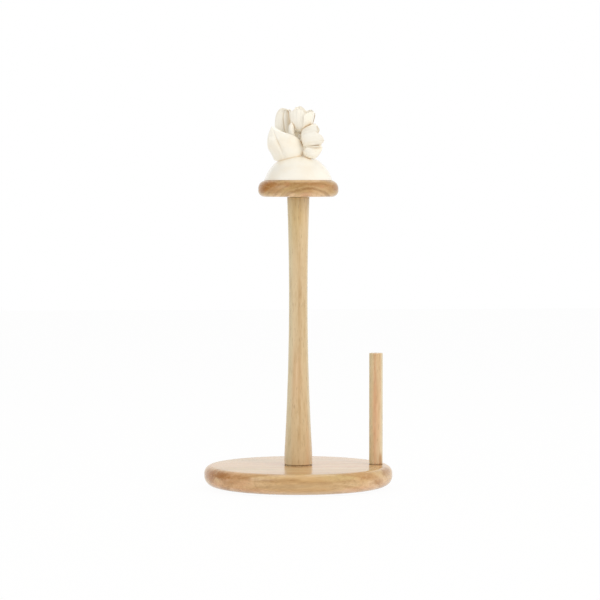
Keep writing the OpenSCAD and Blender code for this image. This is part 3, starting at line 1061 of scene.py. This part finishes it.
@dataclass(frozen=True)
class Blossom:
    """An open flower of overlapping petals round a pistil and stamens."""

    name: str
    node: str
    base: Triple
    tilt: Triple
    turn: float
    petals: tuple[Petal, ...]
    cup: float
    notch: float = 0.14
    lap: float = 0.9
    reach: float = 1.16
    thick: float = 0.62
    throat: float = 2.5
    rib: tuple[float, float] = (0.5, 0.16)
    flute: tuple[float, float] = (0.14, 13)
    ruffles: tuple[Triple, ...] = ((0.25, 7, 2), (0.15, 17, 1))
    stamens: int = 6
    steps: int = 20
    places: int = 18

    def wall(self, k: int, s: float, t: float) -> Vector:
        """A point on a petal's middle surface, on a flower that opens along +Z.

        Args:
            k: Number of the petal.
            s: Place across it; its neighbours' middles are at -2 and 2.
            t: Place from its base at 0 to its lip at 1.

        Returns:
            The point in millimetres from the flower's base.
        """
        count = len(self.petals)
        own, beside = self.petals[k], self.petals[(k + (-1 if s < 0 else 1)) % count]
        share = min(0.5, s * s / 2)
        radius = mix(own.radius, beside.radius, share)
        ruffle = sum(tall * (1 + sin(waves * s + shift * k)) for tall, waves, shift in self.ruffles)
        height = mix(own.height, beside.height, share) * (1 - self.notch * abs(s) ** own.point) - ruffle * t
        out = bezier([self.throat, radius * (0.9 - self.cup * 0.05), radius * 0.92, radius], t)
        rise = bezier([0, self.cup, height * 0.5, height], t)
        (rib, width), (flute, waves) = self.rib, self.flute
        relief = rib * exp(-((s / width) ** 2)) * t * (1 - 0.4 * t) + flute * cos(s * waves) * t
        angle = radians(self.turn + 360 / count * (k + s / 2))
        return polar(out - self.lap * s * t - 0.75 + relief, angle, rise + 0.6 * (1 - t))

    def shell(self) -> Shell:
        """Opens the petals round the flower's heart.

        Returns:
            The blossom as closed solids, in millimetres on the cap.
        """
        shell = Shell()
        spread = [j / self.places - 1 for j in range(2 * self.places + 1)]
        ways = [(i / self.steps) ** 0.9 for i in range(self.steps + 1)]
        for k in range(len(self.petals)):
            middle = [[self.wall(k, self.reach * v, t) for v in spread] for t in ways]
            half = [[self.thick * (0.35 + 0.65 * ((1 - abs(v) ** 6) * (1 - t**9)) ** 0.5) * (1.25 - 0.4 * t)
                     for v in spread] for t in ways]
            shell.sheet(middle, half)
        self.heart(shell)
        turn = Euler([radians(a) for a in self.tilt]).to_matrix().to_4x4()
        return shell.moved(Matrix.Translation(Vector(self.base)) @ turn)

    def heart(self, shell: Shell) -> None:
        """Adds the cup's floor, the pistil and the stamens.

        Args:
            shell: The blossom in the making.
        """
        tall, wide = min(p.height for p in self.petals), min(p.radius for p in self.petals)
        rim = [(wide * 0.62, 3.1), (wide * 0.6, 3.7)]
        shell.turned([(0, -0.9), (2.2, -0.6), (3.4, 0.6), *rim, (3, 2.8), (0, 2.6)], 36, Vector())
        pistil = [Vector((0, 0, z)) for z in (1.5, tall * 0.2, tall * 0.4, tall * 0.58)]

        def girth(t: float, a: float) -> float:
            """The pistil's radius, which widens into three lobes."""
            return 1.15 + 0.85 * smooth(0.7, 0.92, t) * (1 + 0.22 * cos(3 * a)) - 0.3 * t

        shell.tube(lambda t: bezier(pistil, t), girth, 18, 24)
        for k in range(self.stamens):
            spots = ((1.4, 2), (2.4, tall * 0.2), (3.6, tall * 0.3), (4.4, tall * 0.46))
            line = [polar(r, TURN * k / self.stamens + 0.4, z) for r, z in spots]
            shell.tube(lambda t, line=line: bezier(line, t),
                       lambda t, a: 0.42 + 0.55 * smooth(0.72, 0.84, t) - 0.3 * smooth(0.93, 1, t), 14, 10)


@dataclass(frozen=True)
class Stem:
    """A tapering stem, or a furled bud, along a cubic curve."""

    name: str
    node: str
    route: tuple[Triple, Triple, Triple, Triple]
    radii: tuple[float, ...]
    furl: float = 0.0

    def width_at(self, t: float, a: float) -> float:
        """The stem's radius.

        Args:
            t: Share of the way along it.
            a: Angle round it.

        Returns:
            The radius there.
        """
        last = len(self.radii) - 1
        k = min(last - 1, int(t * last))
        radius = mix(self.radii[k], self.radii[k + 1], smooth(k, k + 1, t * last))
        return radius * (1 + self.furl * cos(3 * a + 5 * t) * sin(pi * min(1, 1.05 * t)))

    def shell(self) -> Shell:
        """The stem in millimetres on the cap."""
        route = [Vector(p) for p in self.route]
        return Shell().tube(lambda t: bezier(route, t), self.width_at, 36, 24)


@dataclass
class Finial:
    """The porcelain finial: a hollow dome with leaves, blossoms, a bud and their stems."""

    turn: float = -5.0
    dome_radius: float = 37.2
    dome_sink: float = 9.6
    wall: float = 4.0
    rim: float = 0.8
    lip: tuple[tuple[float, float], ...] = ((0.5, 0), (0.2, 0.08), (0.12, 0.35))
    lip_angle: float = 1.6
    glaze: GlazeFinish = GlazeFinish()
    upper: Triple = (3, -4, 50)
    side: Triple = (5, -11.5, 43)
    back: Triple = (-2, 7, 44)
    stem_radii: tuple[float, ...] = (4.2, 2.8, 2.3, 2.1, 2.0, 2.1)
    leaves: tuple[Leaf, ...] = (
        Leaf("front_leaf_blade", "front_leaf",
             ((-13.5, -13, 20.5), (-17, -19, 33), (-24, -29, 42), (-27.5, -9, 57)),
             ((0.95, -0.3, 0.1), (0.95, -0.25, 0)), 21.5, 0.22, 0.85, 1.0, 1.3, 20, 1.9, 0.17),
        Leaf("tall_leaf_blade", "tall_leaf", ((-6, -1, 24), (-13, -2, 42), (-22, 1, 80), (-9.5, -9, 74)),
             ((1, -0.1, 0.1), (0.9, 0.1, -0.1)), 10, 0.45, 0.5, 1.05, 1.1, 16, 1.9),
        Leaf("right_leaf_blade", "right_leaf",
             ((7, -12.5, 25), (9.5, -20, 29.5), (18.5, -23, 27.5), (25, -14, 34.5)),
             ((0.5, 0.2, -0.85), (0.2, 0.3, -0.9)), 7.3, 0.5, 0.55, 0.7, 1.2, 11, 0.4),
        Leaf("back_leaf_blade", "back_leaf", ((4, 13, 22), (5, 28, 25), (15, 32, 38), (19, 14, 52)),
             ((-0.95, 0.25, 0.1), (-0.9, 0.3, 0.2)), 17, 0.4, 0.68, 0.85, 1.3, 17, 1.9),
    )
    blossoms: tuple[Blossom, ...] = (
        Blossom("upper_blossom_petals", "upper_blossom", upper, (6, 2, 0), -111,
                (Petal(13, 26.5, 3), Petal(15.5, 24, 1.6), Petal(12.5, 24.5, 2), Petal(12.5, 27.5, 3),
                 Petal(14, 24.5, 3)), 2.5),
        Blossom("side_blossom_petals", "side_blossom", side, (16, 80, 0), -146,
                (Petal(14, 19.5, 3), Petal(14, 26.5, 1.6), Petal(12, 19, 3), Petal(12, 18, 3),
                 Petal(13.5, 17, 3)), -2),
        Blossom("back_blossom_petals", "back_blossom", back, (-58, -20, 0), -100,
                (Petal(12, 22, 3), Petal(13, 21, 2), Petal(12, 22, 3), Petal(13, 22, 2),
                 Petal(12, 23, 3)), -1),
    )
    stems: tuple[Stem, ...] = (
        Stem("furled_bud", "flower_bud", ((-1, -7, 35), (-5, -13, 40), (-9, -13, 50), (-7, -11.5, 60.5)),
             (1.4, 1.5, 1.7, 2.1, 2.6, 3.0, 3.1, 2.8, 1.2), 0.1),
        Stem("upper_stalk", "upper_stem", ((2, -4, 24.7), (-1, -6, 34), (-1, -7, 42), upper), stem_radii),
        Stem("side_stalk", "side_stem", ((0, -5, 25.3), (-3, -9, 30), (-2, -9, 38), side), stem_radii),
        Stem("back_stalk", "back_stem", ((0, 4, 24.6), (1, 6, 32), (0, 7, 38), back), stem_radii),
    )
    # rays that measure how shut in each point is, which drives the pooled glaze and the painted crease shade
    crease_shade_reach: float = 0.007
    crease_shade_rays: int = 20
    crease_shade_lift: float = 0.00015
    crease_shade_fade: float = 0.7
    crease_shade_gain: float = 1.25
    pieces: list[Piece] = field(default_factory=list)

    def dome(self) -> Shell:
        """Turns the hollow dome with its rounded rim.

        Returns:
            The dome in millimetres on the cap.
        """
        sink, rim = self.dome_sink, self.rim
        inner, outer, centre = self.dome_radius - self.wall, self.dome_radius, (0.0, -sink)
        inner_foot, foot = (degrees(asin(sink / r)) for r in (inner, outer))
        inside, outside = (r * cos(asin(sink / r)) for r in (inner, outer))
        profile = arc(centre, inner, 90, inner_foot, 24)
        profile += [(inside + rim, 0)] + [(outside - rim * share, height) for share, height in self.lip]
        profile += arc(centre, outer, foot + self.lip_angle, 90, 46)
        return Shell().turned(profile, 128, Vector())

    def add(self, shell: Shell, name: str, node: str, material: Material,
            sharp: float = 60) -> None:
        """Moves a shell onto the cap, dresses it and hands it over.

        Args:
            shell: The piece in millimetres on the cap.
            name: Name of the piece.
            node: The CAD node that it replaces.
            material: Its finish.
            sharp: Edges that bend by more than this many degrees are shaded as edges.
        """
        top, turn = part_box("cap_disc")[1].z, Matrix.Rotation(radians(self.turn), 4, "Z")
        place = Matrix.Translation((0, 0, top)) @ turn @ Matrix.Scale(MM, 4)
        item = shell.moved(place).piece(name, sharp)
        hand_over(item, material, "cap", node)
        self.pieces.append(item)

    def fan(self) -> list[Triple]:
        """Spreads directions evenly over the open side of a surface.

        Returns:
            The directions, each as its shares across, up and out.
        """
        golden = pi * (3 - sqrt(5))
        heights = [0.15 + 0.85 * (k + 0.5) / self.crease_shade_rays for k in range(self.crease_shade_rays)]
        return [(sqrt(1 - z * z) * cos(golden * k), sqrt(1 - z * z) * sin(golden * k), z)
                for k, z in enumerate(heights)]

    def crease_shade(self) -> None:
        """Stores how shut in by the finial's surfaces each point lies, for the pooled glaze and painted
        shade in the creases.
        """
        points, faces = [], []
        for item in self.pieces:
            start = len(points)
            points.extend(v.co.copy() for v in item.data.vertices)
            faces.extend([start + v for v in p.vertices] for p in item.data.polygons)
        tree, fan = BVHTree.FromPolygons(points, faces), self.fan()
        for item in self.pieces:
            values = []
            for vertex in item.data.vertices:
                normal = vertex.normal
                over = normal.orthogonal().normalized()
                up = normal.cross(over)
                start = vertex.co + normal * self.crease_shade_lift
                shut = 0.0
                for x, y, z in fan:
                    hit = tree.ray_cast(start, over * x + up * y + normal * z, self.crease_shade_reach)
                    if hit[0] is not None:
                        shut += 1 - self.crease_shade_fade * hit[3] / self.crease_shade_reach
                values.append(min(1.0, shut / self.crease_shade_rays * self.crease_shade_gain))
            attribute = item.data.attributes.new("crease_shade", "FLOAT", "POINT")
            attribute.data.foreach_set("value", values)

    def build(self) -> None:
        """Builds and dresses the finial."""
        glaze = self.glaze.material()
        self.add(self.dome(), "porcelain_dome", "finial_dome", glaze, 45)
        for part in (*self.leaves, *self.blossoms, *self.stems):
            self.add(part.shell(), part.name, part.node, glaze)
        self.crease_shade()


# ---- hardware


@dataclass(frozen=True)
class Thread:
    """A threaded rod or shank along Z, in metres."""

    radius: float
    pitch: float
    depth: float
    lead_in: float = 0.0012
    crest: float = 0.25
    flank: float = 0.625
    sides: int = 40
    cuts: int = 10

    def wave(self, z: float, side: int) -> float:
        """Height of a metric thread as a share of its depth, at z and at one of the sides."""
        phase = (z / self.pitch - side / self.sides) % 1.0
        return min(1.0, max(0.0, (abs(phase - 0.5) * 2 - self.crest) / self.flank))

    def shell(self, foot: Vector, length: float, tip: float = 0.0) -> Shell:
        """The threaded body.

        Args:
            foot: Foot of its axis.
            length: Its length.
            tip: Length of the point at its upper end, or 0 for a flat end.

        Returns:
            The closed body.
        """
        count = round(length / self.pitch * self.cuts)
        rings = []
        for i in range(count + 1):
            z = length * i / count
            run = smooth(0, self.lead_in, z) * smooth(0, self.lead_in, length - z)
            limit = min(1.0, (length - z) / tip + 0.08) if tip else 1.0
            cuts = [self.depth * (1 - self.wave(z, k) * run) for k in range(self.sides)]
            rings.append([foot + polar((self.radius - cut) * limit, TURN * k / self.sides, z)
                          for k, cut in enumerate(cuts)])
        return Shell().rings(rings)


@dataclass
class Hardware:
    """The screws, inserts, washers, nut, plug and feet that hold the holder together."""

    steel: tuple[Colour, Colour] = ((196, 198, 202), (150, 152, 158))
    brass: tuple[Colour, Colour] = ((214, 178, 98), (176, 140, 66))
    rubber: SoftFinish = SoftFinish("dark_rubber", (44, 44, 46), (60, 59, 58), 0.62)
    nylon: SoftFinish = SoftFinish("milky_nylon", (236, 232, 220), (224, 218, 202), 0.4, relief=0.00001)
    resin: SoftFinish = SoftFinish("cast_resin", (214, 204, 168), (196, 184, 142), 0.35, grit=500)
    machine: Thread = Thread(radius=0.004, pitch=0.00125, depth=0.00076)
    wood_screw: Thread = Thread(radius=0.0021, pitch=0.0018, depth=0.0006, sides=28)
    bevel: float = 0.0003
    bolt_head: float = 0.0035
    bolt_key: tuple[float, float] = (0.0029, 0.0025)
    insert_radius: float = 0.006
    insert_flange: float = 0.001
    insert_grooves: tuple[int, float] = (5, 0.0004)
    bore: float = 0.00405
    washer_hole: float = 0.0043
    bolt_washer_hole: float = 0.0045
    nut_flats: float = 0.013
    nut_bevel: float = 0.0004
    nut_chamfer: tuple[float, ...] = (0, 0.0001, 0.0002, 0.00032, 0.00046, 0.0006)
    nut_slope: tuple[float, float] = (0.97, 1.75)
    plug_bore: float = 0.017
    plug_ball: tuple[float, float] = (0.03315, 0.0096)
    plug_bevel: float = 0.0006
    plug_gap: float = 0.00005
    screw_head: tuple[float, float] = (0.0042, 0.0026)
    screw_tip: float = 0.004
    cross: Triple = (0.0044, 0.0009, 0.0014)
    foot_edges: Triple = (0.0007, 0.0003, 0.0002)
    coats: dict[str, Material] = field(default_factory=dict)

    def metal(self, name: str, tones: tuple[Colour, Colour], roughness: float,
              x: float = 0.0, y: float = 0.0) -> Material:
        """A metal finish, its marks turned about a vertical axis through x and y."""
        return MetalFinish(name, tones[0], tones[1], roughness, (x, y)).material()

    def give(self, shell: Shell, name: str, body: str, slot: str, node: str, sharp: float = SHARP) -> None:
        """Turns a shell into a piece in its slot's finish, and hands it over."""
        hand_over(shell.piece(name, sharp), self.coats[slot], body, node)

    def ring(self, name: str, body: str, slot: str, node: str, hole: float) -> None:
        """Makes a flat washer with broken edges.

        Args:
            name: Name of the piece.
            body: The CAD body that it moves with.
            slot: The record's material slot.
            node: The CAD node that it replaces.
            hole: Radius of its hole.
        """
        foot, radius, thick = room(node)
        b = min(self.bevel, thick / 4)
        profile = [(hole + b, 0), (radius - b, 0), (radius, b), (radius, thick - b), (radius - b, thick),
                   (hole + b, thick), (hole, thick - b), (hole, b)]
        self.give(Shell().turned(profile, 96, foot, loop=True), name, body, slot, node)

    def insert(self, name: str, node: str, flange_up: bool) -> None:
        """Makes a flanged brass insert.

        Args:
            name: Name of the piece.
            node: The CAD node that it replaces.
            flange_up: Whether its flange is at its upper end.
        """
        foot, wide, length = room(node)
        bore, b, body, neck = self.bore, self.bevel, self.insert_radius, length - self.insert_flange
        count, cut = self.insert_grooves
        profile = [(bore + b, 0), (body - b, 0), (body, b)]
        for z in (mix(b, neck, k / (count + 1)) for k in range(1, count + 1)):
            profile += [(body, z - cut), (body - cut, z), (body, z + cut)]
        profile += [(body, neck), (wide, neck), (wide, length - b), (wide - b, length), (bore + b, length),
                    (bore, length - b), (bore, b)]
        if not flange_up:
            profile = [(r, length - z) for r, z in reversed(profile)]
        self.give(Shell().turned(profile, 72, foot, loop=True), name, "stand", "brass", node)

    def bolt(self) -> None:
        """Makes the connector bolt that holds the post, its hexagon socket facing down."""
        foot, radius, length = room("post_bolt")
        b, tall, low = self.bevel * 1.5, self.bolt_head, foot.z
        key, depth = self.bolt_key
        profile = [(0, 0), (radius - b, 0), (radius, b), (radius, tall - b), (radius - b, tall), (0, tall)]
        item = Shell().turned(profile, 96, Vector((0, 0, low))).piece("connector_bolt")
        socket = [[polar(key, TURN * k / 6, low + z) for k in range(6)] for z in (-PAST, depth)]
        carve(item, [Shell().rings(socket).piece("key_cutter")])
        join(item, self.machine.shell(Vector((0, 0, low + tall)), length - tall).piece("shank"))
        hand_over(item, self.metal("plated_steel", self.steel, 0.24), "stand", "post_bolt")

    def screw(self) -> None:
        """Makes the countersunk wood screw that holds the guard dowel."""
        foot, _, length = room("guard_screw")
        edge, (radius, tall) = self.bevel, self.screw_head
        profile = [(0, 0), (radius - edge, 0), (radius, edge), (self.wood_screw.radius, tall), (0, tall)]
        item = Shell().turned(profile, 72, foot).piece("guard_screw_body")
        long, wide, deep = self.cross
        corners = [Vector((x * long / 2, y * wide / 2, 0)) for x, y in ((-1, -1), (1, -1), (1, 1), (-1, 1))]
        cutters = []
        for turn in (Matrix.Rotation(a, 3, "Z") for a in (0, pi / 2)):
            slot = [[foot + turn @ (c * share) + Vector((0, 0, z)) for c in corners]
                    for share, z in ((1.0, -PAST), (1.0, 0.0), (0.45, deep))]
            cutters.append(Shell().rings(slot).piece("cross_cutter"))
        carve(item, cutters)
        shank = self.wood_screw.shell(foot + Vector((0, 0, tall)), length - tall, self.screw_tip)
        join(item, shank.piece("screw_shank"))
        metal = self.metal("screw_steel", self.steel, 0.3, foot.x, foot.y)
        hand_over(item, metal, "stand", "guard_screw")

    def nut(self) -> None:
        """Makes the hexagon nut below the cap, its corners chamfered."""
        foot, _, thick = room("cap_nut")
        sides, flat, b = 96, self.nut_flats / 2, self.nut_bevel
        share, slant = self.nut_slope

        def around(height: float, limit: float) -> list[Vector]:
            """One ring of the nut, no wider than limit."""
            radii = [min(flat / cos(TURN * k / sides % (TURN / 6) - TURN / 12), limit) for k in range(sides)]
            return [foot + polar(r, TURN * k / sides, height) for k, r in enumerate(radii)]

        limits = [(z, flat * share + z * slant) for z in self.nut_chamfer]
        rings = [around(z, limit) for z, limit in limits]
        rings += [around(thick - z, limit) for z, limit in reversed(limits)]
        rings += [around(z, self.bore + more) for z, more in ((thick, b), (thick - b, 0), (b, 0), (0, b))]
        self.give(Shell().rings(rings, loop=True), "hexagon_nut", "cap", "steel", "cap_nut", 20)

    def feet(self) -> None:
        """Makes the four rubber feet under the base."""
        soft, dish, edge = self.foot_edges
        for node in ("foot_front_right", "foot_back_right", "foot_back_left", "foot_front_left"):
            foot, radius, tall = room(node)
            profile = [(0, dish), (radius * 0.5, dish), (radius * 0.58, 0)]
            profile += arc((radius - soft, soft), soft, -90, 0, 8)
            profile += [(radius, tall - edge), (radius - edge, tall), (0, tall)]
            self.give(Shell().turned(profile, 72, foot), node + "_pad", "stand", "rubber", node)

    def rod(self) -> None:
        """Makes the threaded rod on which the cap screws up and down."""
        foot, _, length = room("cap_rod")
        self.give(self.machine.shell(foot, length), "threaded_rod", "cap", "steel", "cap_rod")

    def plug(self) -> None:
        """Makes the resin plug in the dome's crown, cast round the rod's end."""
        foot, radius, tall = room("finial_plug")
        b, (ball, sink) = self.plug_bevel, self.plug_ball
        lift = foot.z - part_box("cap_disc")[1].z
        end, centre = self.plug_bore + self.plug_gap - lift, (0.0, -sink - lift)
        edge = sqrt(ball**2 - radius**2) + centre[1]
        profile = [(0, end), (self.bore, end), (self.bore, 0), (radius - b, 0), (radius, b), (radius, edge)]
        profile += arc(centre, ball, degrees(acos(radius / ball)), 89.5, 14)[1:] + [(0, tall)]
        self.give(Shell().turned(profile, 72, foot), "resin_plug", "cap", "resin", "finial_plug")

    def build(self) -> None:
        """Builds and dresses the hardware."""
        self.coats = {
            "steel": self.metal("zinc_steel", self.steel, 0.28),
            "brass": self.metal("turned_brass", self.brass, 0.26),
            "rubber": self.rubber.material(),
            "nylon": self.nylon.material(),
            "resin": self.resin.material(),
        }
        self.feet()
        self.bolt()
        self.ring("bolt_washer", "stand", "steel", "post_bolt_washer", self.bolt_washer_hole)
        self.screw()
        self.insert("foot_insert", "post_foot_insert", flange_up=False)
        self.insert("head_insert", "post_head_insert", flange_up=True)
        self.ring("nylon_washer", "washer", "nylon", "wear_washer", self.washer_hole)
        self.ring("nut_washer", "cap", "steel", "cap_washer", self.washer_hole)
        self.nut()
        self.rod()
        self.plug()


# ---- studio


@dataclass
class Studio:
    """The camera, the lamps, the white surround and the floor."""

    distance: float = 2.756
    lens: float = 156.0
    sensor: float = 36.0
    height: float = 0.3190
    pitch: float = 2.49
    azimuth: float = -5.0
    aside: float = 0.0018
    aim: Triple = (0, 0, 0.2)
    ambient: float = 0.69
    dim: float = 0.4
    floor_white: float = 0.96
    floor_size: float = 8.0
    floor_colour: Colour = (248, 247, 244)

    def camera(self) -> None:
        """Places the camera a little left of the front and slightly above."""
        a = radians(self.azimuth)
        back, right = Vector((sin(a), -cos(a), 0)), Vector((cos(a), sin(a), 0))
        data = bpy.data.cameras.new("view")
        data.lens, data.sensor_width = self.lens, self.sensor
        data.clip_start, data.clip_end = 0.1, 50
        item = placed("view", data)
        item.location = back * self.distance + right * self.aside + Vector((0, 0, self.height))
        item.rotation_euler = Euler((radians(90 - self.pitch), 0, a))
        bpy.context.scene.camera = item

    def lamp(self, name: str, place: Triple, size: float, power: float, colour: Colour,
             mirrored: bool = True) -> None:
        """Hangs one soft square lamp that faces the holder.

        Args:
            name: Name of the lamp.
            place: Where it hangs.
            size: Length of its side.
            power: Its power in watts.
            colour: Its colour.
            mirrored: Whether it shows in shiny surfaces.
        """
        data = bpy.data.lights.new(name, "AREA")
        data.shape, data.size, data.energy = "SQUARE", size, power
        data.color = linear(colour)[:3]
        item = placed(name, data)
        item.visible_glossy = mirrored
        item.location = place
        item.rotation_euler = (Vector(self.aim) - Vector(place)).to_track_quat("-Z", "Y").to_euler()

    def surround(self) -> None:
        """Makes a world that looks white, lights softly and mirrors white only from behind the holder."""
        world = bpy.data.worlds.new("surround")
        bpy.context.scene.world = world
        world.use_nodes = True
        net = Net(world.node_tree)
        camera, mirrored = net.seen()
        x, y, _ = net.split(net.place("Generated"))
        behind = mix(self.dim, 1.0, y.step(0.3, 0.9)) + x.step(0.5, 0.95) * 0.6 + x.step(-0.5, -0.95) * 0.06
        strength = mix(mix(self.ambient, behind, mirrored), 1.0, camera)
        light = net.node("ShaderNodeBackground", sockets={"Color": (1, 1, 1, 1), "Strength": strength})
        net.node("ShaderNodeOutputWorld", sockets={"Surface": light.outputs[0]})

    def floor(self) -> None:
        """Makes a pale floor that looks nearly white and keeps the holder's shadow."""
        half = self.floor_size / 2
        corners = [Vector((x * half, y * half, 0)) for x, y in ((-1, -1), (1, -1), (1, 1), (-1, 1))]
        item = Shell(corners, [(0, 1, 2, 3)]).piece("floor")
        net = Coat("floor_paint")
        net.paint(base_color=linear(self.floor_colour), roughness=0.9, specular_ior_level=0.1)
        camera, mirrored = net.seen()
        share = (camera + mirrored) * self.floor_white
        white = net.node("ShaderNodeEmission", sockets={0: (1, 1, 1, 1), 1: 1.0}).outputs[0]
        both = net.node("ShaderNodeMixShader", sockets={0: share, 1: net.surface.outputs[0], 2: white})
        net.feed(net.output.inputs["Surface"], both.outputs[0])
        item.data.materials.append(net.material)

    def build(self) -> None:
        """Builds the studio."""
        bpy.context.scene.view_settings.view_transform = "Standard"
        self.camera()
        self.lamp("key", (1.2, -1.3, 1.15), 0.9, 11.5, (255, 250, 242), mirrored=False)
        self.lamp("fill", (-1.4, -1.0, 0.9), 1.1, 4.45, (250, 251, 255))
        self.lamp("top", (0.1, 0.5, 1.7), 0.9, 4.1, (255, 255, 255))
        self.surround()
        self.floor()


def main() -> None:
    """Builds the studio and the holder, piece by piece."""
    logging.basicConfig(level=logging.INFO, format="%(name)s %(message)s")
    for part in (Studio, TurnedBase, TurnedPost, GuardDowel, CapDisc, Finial, Hardware):
        LOG.info("building %s", part.__name__)
        part().build()


if __name__ == "__main__":
    main()
